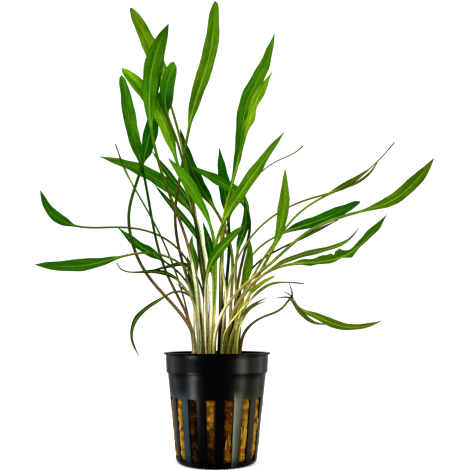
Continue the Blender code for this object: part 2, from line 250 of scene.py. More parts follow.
def strand(shape, points, radius, sides, rings, taper):
    # a thin round thread through a few points; taper is the share of its width left at the end
    points = np.array(points, dtype=float)
    reach = travelled(points)
    line = spline(reach / reach[-1], points, np.linspace(0.0, 1.0, rings + 1))
    tangents = np.gradient(line, axis=0)
    made = tube(shape, sides, rings)
    for point in made:
        share = point.co.z + 0.5
        ring = round(share * rings)
        tangent = Vector(tangents[ring]).normalized()
        side = tangent.orthogonal().normalized()
        up = tangent.cross(side)
        width = radius * (1.0 - (1.0 - taper) * share)
        point.co = (Vector(line[ring]) + (side * point.co.x + up * point.co.y) * width) * mm
    return made


# Net pot: a turned skin with the slots left out, given its wall by Solidify

pot = dict(
    rim=27.0, height=53.0, lip=0.9, collarTop=26.1, collarFoot=25.6, shelf=43.1, bodyTop=24.9, bodyFoot=20.1,
    corner=2.4, cornerSteps=6, wall=1.0, columns=240, slots=16, firstSlot=-6.0, slotHalf=6.0, slotTop=31.6,
    floorSlotHalf=4.5, floorSlotInner=11.0, floorSlotOuter=16.6, edge=0.16, edgeAngle=40.0, lipEdge=0.22,
    rings=(40.0, 36.0, 32.2, 31.6, 28.0, 24.0, 20.0, 16.0, 12.0, 8.0, 5.0, 3.2))
pot["pitch"] = 360.0 / pot["slots"]
potFinish = dict(
    base=(2, 2, 3), specular=0.03, dark=(0, 0, 1), worn=(5, 6, 5), wornSpan=(0.4, 0.7), wornGain=0.5,
    grain=(900.0, 3.0, 0.6), smear=((60.0, 60.0, 22.0), 4.0, 0.6), dents=((150.0, 150.0, 60.0), 2.0, 0.5),
    reflectionEnds=(0.029, 0.037), reflectionFoot=(0.002, 0.007), reflectionPatches=(0.35, 0.6),
    roughness=0.22, bump=0.00003, bumpStrength=0.5)
# painted reflection on the ribs: the tone the wall shows at each turn, as (degrees round from the front, red,
# green, blue)
potPaintedReflection = [(-180, 16, 18, 17), (-130, 34, 38, 38), (-95, 22, 26, 28), (-62, 36, 44, 48), (-40, 44, 56, 64),
           (-31, 24, 32, 36), (-22, 3, 4, 5), (14, 2, 2, 3), (21, 20, 22, 18), (22.5, 112, 110, 100),
           (24.5, 84, 86, 70), (28, 66, 68, 52), (31, 44, 46, 34), (34, 24, 26, 18), (46, 40, 37, 32),
           (54, 44, 40, 35), (66, 30, 32, 24), (100, 40, 42, 38), (150, 14, 16, 15), (180, 16, 18, 17)]


def wallRadius(height):
    share = (height - pot["corner"]) / (pot["shelf"] - pot["corner"])
    return pot["bodyFoot"] + share * (pot["bodyTop"] - pot["bodyFoot"])


def turnOf(point):
    # degrees round the pot from the front to the right, -180 to 180
    return (math.degrees(math.atan2(point.y, point.x)) + 270.0) % 360.0 - 180.0


def aroundPot(turn, radius, z):
    angle = math.radians(turn - 90.0)
    return radius * math.cos(angle), radius * math.sin(angle), z


def fromSlot(turn):
    # degrees from the middle of the nearest slot
    return abs((turn - pot["firstSlot"] + 0.5 * pot["pitch"]) % pot["pitch"] - 0.5 * pot["pitch"])


def potProfile():
    # (radius, height) from the lip down the outside to the middle of the floor
    rim, top, lipFoot, shelf = pot["rim"], pot["height"], pot["height"] - pot["lip"], pot["shelf"]
    points = [(rim - 0.05, top), (rim, top - 0.25), (rim, lipFoot), (pot["collarTop"] + 0.12, lipFoot - 0.1)]
    for share in (0.0, 0.3, 0.6, 0.9, 1.0):
        radius = pot["collarTop"] + (pot["collarFoot"] - pot["collarTop"]) * share
        points.append((radius, lipFoot - 0.3 + (shelf + 0.65 - lipFoot) * share))
    points += [(pot["collarFoot"] - 0.12, shelf + 0.06), (pot["collarFoot"] - 0.35, shelf),
               (pot["bodyTop"] + 0.1, shelf - 0.02), (pot["bodyTop"] - 0.02, shelf - 0.25)]
    points += [(wallRadius(z), z) for z in pot["rings"]]
    for step in range(pot["cornerSteps"] + 1):
        turn = 0.5 * math.pi * step / pot["cornerSteps"]
        points.append((pot["bodyFoot"] - pot["corner"] * (1.0 - math.cos(turn)),
                       pot["corner"] * (1.0 - math.sin(turn))))
    floor = pot["floorSlotOuter"], 13.5, pot["floorSlotInner"], 8.0, 4.0, 0.0
    return points + [(radius, 0.0) for radius in floor]


def inSlot(face):
    middle = face.calc_center_median()
    radius, height = math.hypot(middle.x, middle.y) / mm, middle.z / mm
    if pot["corner"] < height < pot["slotTop"]:
        return fromSlot(turnOf(middle)) < pot["slotHalf"]
    onFloor = height < 0.01 and pot["floorSlotInner"] < radius < pot["floorSlotOuter"]
    return onFloor and fromSlot(turnOf(middle)) < pot["floorSlotHalf"]


def buildPot(material):
    shape = turned(potProfile())
    inside = Vector((0.0, 0.0, 0.5 * pot["height"])) * mm
    if sum(face.normal.dot(face.calc_center_median() - inside) for face in shape.faces) < 0.0:
        bmesh.ops.reverse_faces(shape, faces=shape.faces)
    reflectionLayer = shape.verts.layers.float_color.new("film")
    # painted reflection: each point takes the tone listed for its turn round the pot
    for point in shape.verts:
        point[reflectionLayer] = (*tintAt(potPaintedReflection, turnOf(point.co)), 1.0)
    bmesh.ops.delete(shape, geom=[face for face in shape.faces if inSlot(face)], context="FACES")
    piece = addPiece("net_pot_fine", shape, material, "pot_plastic", "net_pot")
    wall = piece.modifiers.new("wall", "SOLIDIFY")
    wall.thickness = pot["wall"] * mm
    wall.offset = -1.0
    wall.use_even_offset = True
    soft = piece.modifiers.new("soft edges", "BEVEL")
    soft.width = pot["edge"] * mm
    soft.segments = 2
    soft.limit_method = "ANGLE"
    soft.angle_limit = math.radians(pot["edgeAngle"])
    soft.harden_normals = True
    # the flat lip is a ring of its own, let into the collar
    rim, top, inner, edge = pot["rim"], pot["height"], pot["collarTop"] - pot["wall"], pot["lipEdge"]
    foot = top - pot["lip"]
    ring = [(inner, foot), (rim - edge, foot), (rim - 0.3 * edge, foot + 0.3 * edge), (rim, foot + edge),
            (rim, top - edge), (rim - 0.3 * edge, top - 0.3 * edge), (rim - edge, top),
            (inner + edge, top), (inner + 0.3 * edge, top - 0.3 * edge), (inner, top - edge), (inner, foot)]
    addPiece("net_pot_lip", turned(ring), material, "pot_plastic")


def potLook():
    rules = potFinish
    look = Look("pot_plastic_fine", linear(*rules["base"]), rules["specular"])
    place = look.place()
    height = look.axis(place, "Z")
    grain = look.noise(place, *rules["grain"])
    smear = look.noise(place, *rules["smear"])
    dents = look.noise(place, *rules["dents"])
    worn = smear.span(*rules["wornSpan"]) * rules["wornGain"]
    colour = look.blend(worn, linear(*rules["dark"]), linear(*rules["worn"]))
    # painted reflection: the ribs below the collar take that tone in soft patches, fading out at the top and
    # weaker at the foot
    onRibs = (1.0 - height.span(*rules["reflectionEnds"])) * (0.3 + 0.7 * height.span(*rules["reflectionFoot"]))
    paintedReflectionMask = onRibs * (0.45 + 0.55 * smear.span(*rules["reflectionPatches"]))
    colour = look.blend(paintedReflectionMask, colour, look.attribute("film", "Color"))
    roughness = rules["roughness"] + 0.16 * smear + 0.04 * grain
    return look.finish(colour, roughness, 0.5 * grain + 9.0 * dents, rules["bump"], rules["bumpStrength"])


# Growing wool: a lumpy plug that swells a little into the slots

wool = dict(crown=47.4, shoulder=46.2, shoulderRadius=23.2, topRings=22, neck=42.0, rings=72, sideFoot=3.1,
            foot=1.9, clearance=0.35, sideRadius=15.0, swell=1.55, slotHalf=5.9, lumps=0.5,
            lumpScales=(0.33, 0.9), tuftScale=2.1,
            dark=(16, 5, 2), brown=(88, 52, 10), golden=(138, 108, 24), pale=(190, 160, 70))
# how golden the wool is, from 0 dark to 1, as (degrees round from the front, share)
woolTones = [(-180, 0.45), (-120, 0.55), (-75, 0.7), (-58, 0.85), (-45, 0.8), (-34, -0.1), (-22, -0.1),
             (-12, 0.55), (0, 0.6), (10, 0.38), (22, 0.38), (32, 0.74), (45, 0.8), (61, 0.78), (110, 0.5),
             (180, 0.45)]
# the front slot's wool is darker low down
frontSlot = dict(half=9.0, darker=0.45, top=17.0, fade=4.0)
woolFinish = dict(
    specular=0.02, threads=((2600.0, 2600.0, 420.0), 5.0, 0.65, 0.8), threadSpan=(0.5, 0.66),
    tufts=(520.0, 4.0, 0.65), goldenSpan=(0.02, 0.16), roughness=0.82, bump=0.0005, bumpStrength=0.8)
# painted shade in the hollows between tufts: (pattern, where it ends, how strong, what it multiplies the
# colour by)
woolHollowShade = [((260.0, 3.0, 0.5), (0.34, 0.52), 0.8, (0.3, 0.22, 0.18)),
               (((900.0, 900.0, 520.0), 4.0, 0.7, 0.6), (0.36, 0.5), 0.7, (0.34, 0.26, 0.2))]


def woolHeight(x, y):
    share = min(1.0, math.hypot(x, y) / wool["shoulderRadius"])
    return wool["crown"] - (wool["crown"] - wool["shoulder"]) * share * share


def woolProfile():
    def inner(z):
        return wallRadius(max(z, pot["corner"])) - pot["wall"] - wool["clearance"]
    radii = [wool["shoulderRadius"] * step / wool["topRings"] for step in range(wool["topRings"] + 1)]
    heights = np.linspace(wool["neck"], wool["sideFoot"], wool["rings"] + 1)
    line = [(radius, woolHeight(radius, 0.0)) for radius in radii] + [(inner(z), z) for z in heights]
    return line + [(inner(0.0) - 1.6, wool["foot"]), (12.0, wool["foot"]), (0.0, wool["foot"])]


def buildWool(material):
    shape = turned(woolProfile())
    tintLayer = shape.verts.layers.float_color.new("woolTint")
    turns, tones = zip(*woolTones)
    for point in shape.verts:
        radius, z = math.hypot(point.co.x, point.co.y) / mm, point.co.z / mm
        turn = turnOf(point.co)
        spot = point.co / mm
        broad, close = (noise.noise(spot * scale) for scale in wool["lumpScales"])
        lump = broad + 0.5 * close
        tuft = noise.noise(spot * wool["tuftScale"])
        if radius > wool["sideRadius"] and wool["foot"] + 1.0 < z < pot["slotTop"]:
            middle = max(0.0, 1.0 - (fromSlot(turn) / wool["slotHalf"]) ** 4)
            ends = max(0.0, min(1.0, (z - pot["corner"]) / 2.0, (pot["slotTop"] - z) / 2.0))
            bulge = wool["swell"] * middle * ends * min(1.0, 0.8 + 0.35 * lump)
            grow = (radius + max(0.0, bulge + 0.16 * tuft)) / radius
            point.co.x *= grow
            point.co.y *= grow
        elif z > wool["neck"] + 1.0 and radius < wool["shoulderRadius"] - 0.3:
            point.co.z += wool["lumps"] * (0.7 * lump + 0.5 * tuft) * mm
        golden = float(np.interp(turn, turns, tones)) + 0.5 * lump + 0.25 * tuft
        if radius > wool["sideRadius"] and abs(turn - pot["firstSlot"]) < frontSlot["half"]:
            golden -= frontSlot["darker"] * min(1.0, max(0.0, (frontSlot["top"] - z) / frontSlot["fade"]))
        tint = mixTint(linear(*wool["dark"]), linear(*wool["brown"]), golden * 2.0)
        point[tintLayer] = (*mixTint(tint, linear(*wool["golden"]), golden * 2.0 - 1.0), 1.0)
    addPiece("growing_wool_fine", shape, material, "growing_wool", "growing_wool")


def woolLook():
    rules = woolFinish
    look = Look("growing_wool_fine", linear(*wool["brown"]), rules["specular"])
    place = look.place()
    tint = look.attribute("woolTint", "Color")
    threads = look.noise(place, *rules["threads"])
    tufts = look.noise(place, *rules["tufts"])
    colour = tint
    # painted shade: the wool is darkened in noisy patches that stand for the hollows between tufts
    for pattern, ends, gain, factors in woolHollowShade:
        colour = look.tinted((1.0 - look.noise(place, *pattern).span(*ends)) * gain, colour, factors)
    golden = look.axis(tint, "Y").span(*rules["goldenSpan"])
    bright = threads.span(*rules["threadSpan"]) * (0.08 + 0.5 * golden)
    colour = look.blend(bright, colour, linear(*wool["pale"]))
    return look.finish(colour, rules["roughness"] + 0.12 * tufts, 0.6 * threads + tufts,
                       rules["bump"], rules["bumpStrength"])


# Roots behind the slots and loose fibres, each kind one piece

roots = dict(count=74, radius=(0.12, 0.26), steps=12, sides=5, taper=0.55, spread=4.6, drift=2.0,
             top=(20.0, 31.0), foot=3.4, leastLength=8.0, depth=(0.25, 0.95), endDepth=1.3,
             tones=[(150, 120, 48), (120, 82, 26), (84, 50, 18), (184, 158, 84)], bareTurns=(-34.0, 22.0))
# the ones seen from the front, as [(degrees round, height)], radius, colour: a loop and a few threads
shownRoots = [
    ([(13.6, 19), (13.8, 12), (14.6, 6.6), (16.6, 5.0), (18.2, 8), (18.9, 14), (19.3, 20)],
     0.3, (150, 112, 46)),
    ([(16.2, 24), (16.8, 17), (16.2, 11), (17.0, 7)], 0.2, (128, 92, 36)),
    ([(19.6, 29), (19.0, 25), (19.4, 21)], 0.24, (176, 156, 96)),
    ([(-50.0, 30), (-51.5, 26), (-49.5, 22), (-52.0, 17), (-50.5, 12)], 0.24, (190, 166, 84)),
    ([(-53.5, 20), (-51.5, 14), (-52.5, 8), (-50.0, 4.5)], 0.2, (160, 128, 56)),
    ([(37.5, 30), (39.0, 22), (38.0, 14), (39.5, 6)], 0.26, (186, 154, 66)),
    ([(-29.0, 28), (-27.5, 24), (-29.5, 20)], 0.14, (110, 76, 40))]
fibres = dict(sideCount=260, topCount=150, radius=0.06, sides=3, steps=5, spread=5.0, heights=(4.0, 30.0),
              depth=(0.1, 1.2), rise=(0.6, 2.6), topReach=22.0, stride=0.8,
              tones=[(140, 104, 44), (84, 52, 20), (164, 134, 72)])


def strandPiece(name, plans, material):
    shape = bmesh.new()
    tintLayer = shape.verts.layers.float_color.new("woolTint")
    for points, radius, tone, sides, rings in plans:
        for point in strand(shape, points, radius, sides, rings, roots["taper"]):
            point[tintLayer] = (*linear(*tone), 1.0)
    bmesh.ops.recalc_face_normals(shape, faces=shape.faces)
    addPiece(name, shape, material, "growing_wool")


def slotTurn(chance, spread):
    # a turn inside one of the slots
    slot = chance.randrange(pot["slots"])
    return pot["firstSlot"] + slot * pot["pitch"] + chance.uniform(-spread, spread)


def buildRoots(material, chance):
    plans = []
    for _ in range(roots["count"]):
        turn = slotTurn(chance, roots["spread"])
        if roots["bareTurns"][0] < (turn + 180.0) % 360.0 - 180.0 < roots["bareTurns"][1]:
            continue
        top = chance.uniform(*roots["top"])
        foot = chance.uniform(roots["foot"], top - roots["leastLength"])
        points = []
        for step in range(5):
            z = top + (foot - top) * step / 4.0
            turn += chance.uniform(-roots["drift"], roots["drift"])
            # both ends go back into the wool
            sunk = roots["endDepth"] if step in (0, 4) else 0.0
            points.append(aroundPot(turn, wallRadius(z) - chance.uniform(*roots["depth"]) - sunk, z))
        tone = chance.choice(roots["tones"])
        plans.append((points, chance.uniform(*roots["radius"]), tone, roots["sides"], roots["steps"]))
    for stops, radius, tone in shownRoots:
        points = []
        for turn, z in stops:
            sunk = 1.2 if (turn, z) in (stops[0], stops[-1]) else 0.1
            points.append(aroundPot(turn, wallRadius(z) - radius - sunk, z))
        plans.append((points, radius, tone, roots["sides"], 2 * roots["steps"]))
    strandPiece("roots", plans, material)


def buildFibres(material, chance):
    threads = []
    for _ in range(fibres["sideCount"]):
        turn = slotTurn(chance, fibres["spread"])
        z = chance.uniform(*fibres["heights"])
        points = []
        for step in (-1, 0, 1):
            aside, depth = chance.uniform(-3.0, 3.0), chance.uniform(*fibres["depth"])
            rise = step * chance.uniform(*fibres["rise"])
            points.append(aroundPot(turn + aside, wallRadius(z) - depth, z + rise))
        threads.append((points, chance.choice(fibres["tones"])))
    for _ in range(fibres["topCount"]):
        radius, turn = fibres["topReach"] * math.sqrt(chance.random()), chance.uniform(0.0, 360.0)
        x, y, z = aroundPot(turn, radius, 0.0)
        z = woolHeight(x, y)
        heading = chance.uniform(0.0, math.tau)
        points = [(x, y, z - 0.4)]
        for step in (fibres["stride"], 2.0 * fibres["stride"]):
            points.append((x + step * math.cos(heading) + chance.uniform(-0.4, 0.4),
                           y + step * math.sin(heading) + chance.uniform(-0.4, 0.4),
                           z + chance.uniform(0.2, 1.1)))
        threads.append((points, chance.choice(fibres["tones"])))
    plans = [(points, fibres["radius"], tone, fibres["sides"], fibres["steps"]) for points, tone in threads]
    strandPiece("fibres", plans, material)


def strandLook():
    look = Look("root_strands", linear(200, 170, 100), 0.1)
    blotch = look.noise(look.place(), 700.0, 3.0, 0.6)
    tint = look.attribute("woolTint", "Color")
    colour = look.tinted(blotch.span(0.45, 0.7) * 0.4, tint, (0.55, 0.45, 0.35))
    return look.finish(colour, 0.6 + 0.2 * blotch)


# Leaves: the same lines as the part's

leafRules = dict(
    depthEase=1.4, standOff=0.35, sink=1.6, baseSwell=1.35, swellLength=0.2, gutter=0.22, flare=0.25,
    tipHalfWidth=0.14, threadHalfWidth=0.36, pointedTip=0.85, bluntTip=0.42,
    around=26, ringStep=1.7, tornRingStep=0.85, leastRings=44,
    thickness=0.21, edgeThickness=0.3, sectionPower=0.8, spreadPower=1.3, tipThinning=0.45, edgeSharpness=4.0,
    keel=0.16, grooveDepth=0.16, ribDepth=0.3, ribWidth=0.55, ribbedWidth=6.0,
    twist=18.0, twistCentre=0.6, twistedWidth=5.0,
    waveLength=(14.0, 22.0), waveLag=2.1, rippleShare=0.6, crimpScale=0.16, wavedHalfWidth=2.0,
    shadePlaces=(0.1, 0.5, 0.9), greening=1.15, frayed=0.36, frayScale=(0.5, 0.2))

bladeTints = dict(
    deep=linear(12, 64, 9), mid=linear(46, 92, 12), bright=linear(84, 126, 20), dry=linear(82, 96, 36))
dryTints = dict(brown=(58, 48, 30), grey=(46, 42, 38), dark=(34, 42, 28))
# stalk colours from the wool upwards, as (height, red, green, blue); the last one runs into the blade. In
# longBrown and beige the first stop is paler than the stalk itself: painted light against the shade just
# above the wool
stalkTints = dict(
    longBrown=[(57, 255, 248, 214), (67, 146, 124, 92), (80, 114, 94, 66), (95, 86, 74, 48),
               (112, 66, 74, 30), (140, 58, 86, 24), (158, 44, 86, 14)],
    beige=[(50, 250, 240, 206), (60, 186, 170, 134), (68, 134, 118, 78), (80, 90, 84, 46), (94, 62, 70, 34),
           (113, 50, 74, 26), (140, 30, 66, 16)],
    brown=[(50, 196, 184, 145), (66, 142, 130, 92), (79, 172, 166, 120), (94, 86, 76, 42),
           (113, 74, 66, 32), (140, 64, 70, 20), (177, 84, 108, 28)],
    creamBrown=[(50, 190, 182, 150), (66, 202, 200, 159), (79, 170, 176, 134), (92, 208, 216, 184),
                (106, 112, 94, 58), (125, 88, 76, 38), (142, 72, 90, 22), (160, 76, 116, 22)],
    cream=[(50, 248, 236, 146), (57, 250, 242, 160), (66, 255, 252, 222), (80, 242, 238, 220),
           (100, 234, 232, 204), (118, 186, 192, 124), (140, 92, 130, 30)],
    dullCream=[(50, 96, 88, 36), (57, 180, 170, 118), (67, 214, 206, 172), (80, 164, 156, 106),
               (96, 128, 130, 58), (113, 92, 114, 44), (125, 92, 122, 28)],
    mottled=[(50, 64, 54, 24), (63, 228, 220, 180), (74, 210, 200, 168), (90, 84, 80, 40),
             (113, 56, 70, 28), (140, 66, 92, 24)],
    fresh=[(50, 118, 104, 27), (60, 160, 151, 84), (68, 170, 167, 101), (80, 113, 140, 36),
           (95, 94, 126, 24), (113, 86, 126, 18)],
    gold=[(50, 90, 76, 30), (60, 150, 138, 97), (70, 200, 190, 154), (80, 214, 206, 170),
          (92, 150, 152, 104), (104, 124, 130, 44), (116, 110, 126, 30), (140, 86, 120, 18)],
    yellow=[(50, 195, 187, 114), (66, 191, 189, 122), (79, 168, 165, 100), (94, 126, 128, 52),
            (113, 104, 120, 34), (140, 96, 120, 26)],
    yellowBrown=[(50, 147, 138, 49), (62, 164, 157, 92), (79, 178, 172, 111), (94, 116, 114, 46),
                 (113, 92, 110, 32)],
    green=[(50, 190, 184, 143), (74, 150, 154, 107), (94, 92, 100, 42), (113, 84, 104, 32),
           (125, 66, 98, 22)],
    darkGreen=[(50, 150, 140, 105), (66, 104, 98, 50), (82, 74, 78, 32), (100, 50, 68, 22),
               (125, 30, 58, 14)],
    wire=[(50, 140, 132, 74), (64, 104, 112, 56), (72, 84, 100, 46), (80, 84, 106, 44), (100, 76, 104, 32)],
    # dark: very dark brown stalks at the back, painted shade that stands in for the shade between the stalks
    dark=[(50, 50, 40, 18), (68, 44, 36, 15), (100, 36, 35, 12), (130, 28, 44, 12), (160, 36, 52, 14)],
    lightDark=[(50, 26, 22, 6), (64, 58, 50, 20), (78, 96, 88, 48), (90, 140, 132, 72), (112, 132, 136, 62),
               (128, 64, 92, 32), (142, 30, 66, 16)],
    mossy=[(50, 116, 104, 50), (66, 118, 106, 44), (79, 147, 140, 62), (92, 98, 106, 42),
           (113, 90, 104, 34)],
    barky=[(50, 120, 106, 60), (66, 104, 92, 50), (82, 96, 84, 42), (98, 92, 84, 40), (110, 60, 76, 26),
           (130, 30, 58, 14)],
    emerald=[(50, 70, 60, 26), (70, 60, 58, 28), (84, 34, 62, 26), (100, 18, 66, 20), (125, 20, 62, 12)],
    olive=[(50, 145, 142, 58), (66, 172, 172, 107), (80, 174, 174, 84), (94, 134, 140, 74),
           (120, 96, 106, 36), (150, 88, 104, 28)],
    pale=[(50, 150, 140, 95), (60, 212, 204, 173), (70, 226, 218, 194), (80, 164, 162, 127),
          (95, 92, 102, 48), (108, 84, 116, 34)],
    paleGreen=[(50, 184, 174, 139), (72, 170, 176, 129), (84, 144, 160, 94), (94, 86, 104, 42),
               (113, 104, 120, 22)],
    thin=[(50, 150, 134, 106), (70, 100, 90, 52), (96, 72, 80, 36), (130, 60, 84, 34)],
    straw=[(50, 66, 54, 24), (79, 58, 52, 22), (94, 54, 46, 16), (113, 84, 78, 46), (140, 84, 78, 62)])

# what a leaf has unless its row says otherwise: tone and warm tint the blade, tone partly its own colour and
# partly painted light and shade; foot and end are painted shade and light near the blade's foot and end,
# footHue and endHue how warm it is there; a leaf with a dryTone of its own withers to a thread
leafDefaults = dict(
    peak=0.45, blunt=False, thread=0.0, wave=0.45, fineRib=1.0, dryTip=0.0, dryTone=None,
    tone=1.0, warm=1.0, foot=1.0, end=1.0, footHue=1.0, endHue=1.0)
leaves = {}


def leaf(name, look, stalk, base, tip, stem, blade, roll, route, **own):
    # base: where it stands on the wool; tip: how far back its tip is; stem: the stalk's width;
    # blade: where along the leaf it starts, and its width; route: (x, z) in the plane of the pot's axis
    start, width = blade
    row = dict(look=look, tint=look, stalk=stalk, base=base, tip=tip, stem=stem, start=start, width=width,
               roll=roll, route=route)
    leaves[name] = {**leafDefaults, **row, **own}


# tall leaves of the left side
leaf("leaf_01", "deep", "longBrown", (-12.2, 1.0), 18, 1.7, (0.72, 10.8), 40,
     [(-12, 60), (-22, 76), (-39, 96), (-46, 113), (-47.4, 126), (-42.8, 146), (-38.8, 164), (-33, 194)],
     tone=1.34, warm=0.42, foot=1.3, endHue=1.3)
leaf("leaf_02", "mid", "beige", (-12.0, -2.2), -12, 1.4, (0.64, 8.6), 40,
     [(-13, 63), (-26, 92), (-35, 122), (-42, 154), (-47, 170), (-52, 194), (-54, 204)],
     peak=0.55, blunt=True, foot=0.34, tone=1.6, warm=1.18, end=1.06, fineRib=1.5, footHue=0.55)
leaf("leaf_03", "dry", "thin", (-11.4, 4.2), 8, 1.0, (0.78, 1.3), 0,
     [(-14, 66), (-22, 94), (-37, 126), (-50, 149), (-56, 164)], dryTip=0.85, dryTone="dark")
leaf("leaf_04", "mid", "creamBrown", (-8.8, -7.6), -36, 1.5, (0.64, 11.2), 35,
     [(-10, 70), (-16, 109), (-29, 144), (-35.5, 166.5), (-38, 182.5), (-38, 200), (-36, 214), (-32, 226.5),
      (-28.5, 235)], peak=0.58, tone=1.13, warm=1.2, foot=1.14, end=0.62)
leaf("leaf_05", "bright", "olive", (-5.0, 6.2), 26, 1.5, (0.68, 12.0), 40,
     [(-8, 95), (-17, 151), (-26.5, 187), (-34, 208.5), (-39.5, 222.5), (-44.5, 233.5), (-50, 245)],
     blunt=True, tone=0.68, warm=1.2, end=0.75, dryTip=0.015, endHue=1.1)
leaf("leaf_06", "mid", "brown", (-9.4, 2.0), 6, 1.6, (0.6, 10.2), -40,
     [(-11, 72), (-19, 101), (-22.8, 124), (-20.2, 148), (-12, 191), (-5, 216), (-2.2, 249)],
     peak=0.56, blunt=True, dryTip=0.02, tone=0.91, warm=1.83, foot=0.62, end=0.93)
leaf("leaf_07", "bright", "cream", (-4.0, -0.8), -28, 1.6, (0.62, 8.4), 30,
     [(-4, 81), (-8, 109), (-22, 153), (-31, 178), (-42, 195), (-54, 208)],
     peak=0.58, blunt=True, tone=0.99, warm=1.17, foot=0.91, end=1.32, dryTip=0.02)
leaf("leaf_08", "deep", "mottled", (-6.2, -3.8), -26, 1.3, (0.8, 9.4), 40,
     [(-6, 85), (-15, 136), (-24, 170), (-27.5, 179), (-29.5, 187.5), (-29, 196), (-27.5, 203.5),
      (-25, 212)],
     peak=0.5, blunt=True, foot=0.33, tone=1.81, warm=2.6, end=1.6, dryTip=0.03, fineRib=1.9, footHue=0.4,
     endHue=1.8)
# side leaves of the left side
leaf("leaf_09", "mid", "green", (-6.8, 8.0), 24, 1.4, (0.52, 10.4), 45,
     [(-7, 85), (-14, 125.6), (-24.2, 137.4), (-47.2, 151.4), (-64.6, 157)],
     peak=0.5, tone=0.82, warm=0.81, foot=1.34, end=1.07, fineRib=1.5, footHue=1.4, endHue=1.5)
leaf("leaf_10", "mid", "thin", (-9.6, -0.8), -1, 1.1, (0.79, 7.0), 45,
     [(-10, 72), (-16, 100), (-30, 113), (-53, 118), (-75, 118.6), (-87.4, 124.4), (-95.4, 138)],
     tone=0.72, warm=0.46, foot=0.44, end=0.77, fineRib=2.4)
leaf("leaf_11", "mid", "green", (-7.8, -2.2), -22, 1.2, (0.62, 8.4), 45,
     [(-9, 69), (-15, 94), (-26, 102), (-42, 104), (-62, 99), (-78, 97), (-96, 98)],
     peak=0.55, dryTip=0.03, tone=0.61, warm=0.68, foot=0.68, end=0.91, fineRib=2.2)
leaf("leaf_12", "deep", "darkGreen", (-7.2, 4.2), 20, 1.1, (0.63, 6.8), 40,
     [(-10, 71), (-17, 90), (-30, 101), (-43, 109), (-53, 118)], tone=1.65, warm=1.05, foot=0.81, end=0.97)
leaf("leaf_13", "deep", "green", (-8.0, -10.2), -32, 1.0, (0.5, 2.6), 40,
     [(-9, 64), (-15, 83), (-26, 93), (-43, 94), (-51, 96), (-53, 99)],
     thread=0.2, dryTip=0.24, dryTone="grey", tone=0.21, warm=1.28, foot=1.5)
leaf("leaf_14", "deep", "darkGreen", (-4.8, 2.4), 12, 1.1, (0.6, 2.2), 10,
     [(-6, 69), (-10, 90), (-17, 98), (-26, 97), (-35, 95)], tone=0.43, warm=2.03)
leaf("leaf_15", "mid", "darkGreen", (-6.0, -6.6), -10, 1.1, (0.52, 3.0), 45,
     [(-8, 62), (-11, 78), (-20, 84), (-31, 79), (-41, 71), (-44, 62), (-40, 51)],
     tone=0.2, warm=1.13, foot=0.61)
leaf("leaf_16", "dry", "pale", (-11.0, 6.8), 16, 1.3, (0.6, 1.8), 0,
     [(-12, 67), (-14, 82), (-22, 88)], dryTip=0.5)
# short and narrow blades inside the left half
leaf("leaf_17", "mid", "pale", (-7.2, 0.9), 4, 1.1, (0.66, 4.8), 35,
     [(-8, 69), (-11, 92.5), (-12.5, 101), (-14, 107.5), (-13.5, 114)],
     tone=0.79, warm=1.52, foot=0.88, end=1.6)
leaf("leaf_18", "deep", "dark", (-8.2, 9.2), 26, 1.1, (0.5, 5.6), 35,
     [(-10, 66), (-13, 83), (-14, 92.5), (-16, 102.5)], tone=1.31, warm=0.73)
leaf("leaf_19", "deep", "darkGreen", (-4.4, 8.4), 30, 1.2, (0.6, 4.6), 35,
     [(-6, 85), (-11, 112), (-23, 128), (-34, 141)], tone=1.37, warm=1.19, foot=0.78, end=0.73)
leaf("leaf_20", "deep", "darkGreen", (-2.4, 1.2), 11, 1.2, (0.7, 4.4), 35,
     [(-7, 85), (-10, 104), (-15, 130), (-26, 146), (-36, 160)], tone=1.09, warm=1.09, foot=0.74)
leaf("leaf_21", "deep", "dark", (-2.2, 7.0), 24, 1.2, (0.55, 5.6), 35,
     [(-2, 80), (-4, 105), (-8, 121)], tone=1.4, warm=0.47, end=0.68)
# front leaves
leaf("leaf_22", "bright", "fresh", (-1.8, -10.0), -46, 1.6, (0.58, 7.4), 40,
     [(-2, 64), (-1, 92), (-4, 119), (-12, 135), (-27, 156)],
     peak=0.6, tone=0.64, warm=0.81, foot=1.21, end=1.12, fineRib=1.9)
leaf("leaf_23", "mid", "pale", (-4.6, -8.4), -42, 1.2, (0.52, 6.0), -40,
     [(-6.5, 76.5), (-6, 88), (-4, 97.5), (0.5, 105), (6.5, 111.5), (14, 119)],
     peak=0.56, tone=0.73, warm=1.4, foot=0.48, end=1.1)
leaf("leaf_24", "bright", "gold", (2.2, -6.8), -34, 1.3, (0.73, 6.4), -40,
     [(3.4, 70), (4.3, 80), (2.9, 94), (1.6, 110), (9.5, 148.5), (15.5, 171.5), (19, 183.5), (24, 195.5),
      (30, 206)], peak=0.5, tone=0.76, warm=1.42, foot=0.91, end=0.85, wave=1.1)
leaf("leaf_25", "mid", "paleGreen", (-2.0, -4.4), -42, 1.5, (0.52, 7.8), -40,
     [(-2, 80), (-1, 109), (8, 130), (22, 151), (31, 164), (36, 171)],
     tone=0.9, warm=1.86, foot=1.26, end=1.09, dryTip=0.02)
leaf("leaf_26", "bright", "yellow", (8.2, -4.0), -16, 1.6, (0.56, 7.2), -40,
     [(12, 68), (22.2, 94), (31.6, 112), (35.6, 131), (36.2, 150)],
     peak=0.5, tone=0.78, warm=1.28, foot=1.08, end=0.78)
leaf("leaf_27", "mid", "mossy", (10.4, -1.2), 8, 1.3, (0.56, 5.8), -35,
     [(12, 69), (14.5, 88), (16.5, 99.5), (17, 106.5), (16.5, 112.5)],
     tone=1.16, warm=2.0, foot=1.05, end=0.94, fineRib=1.5)
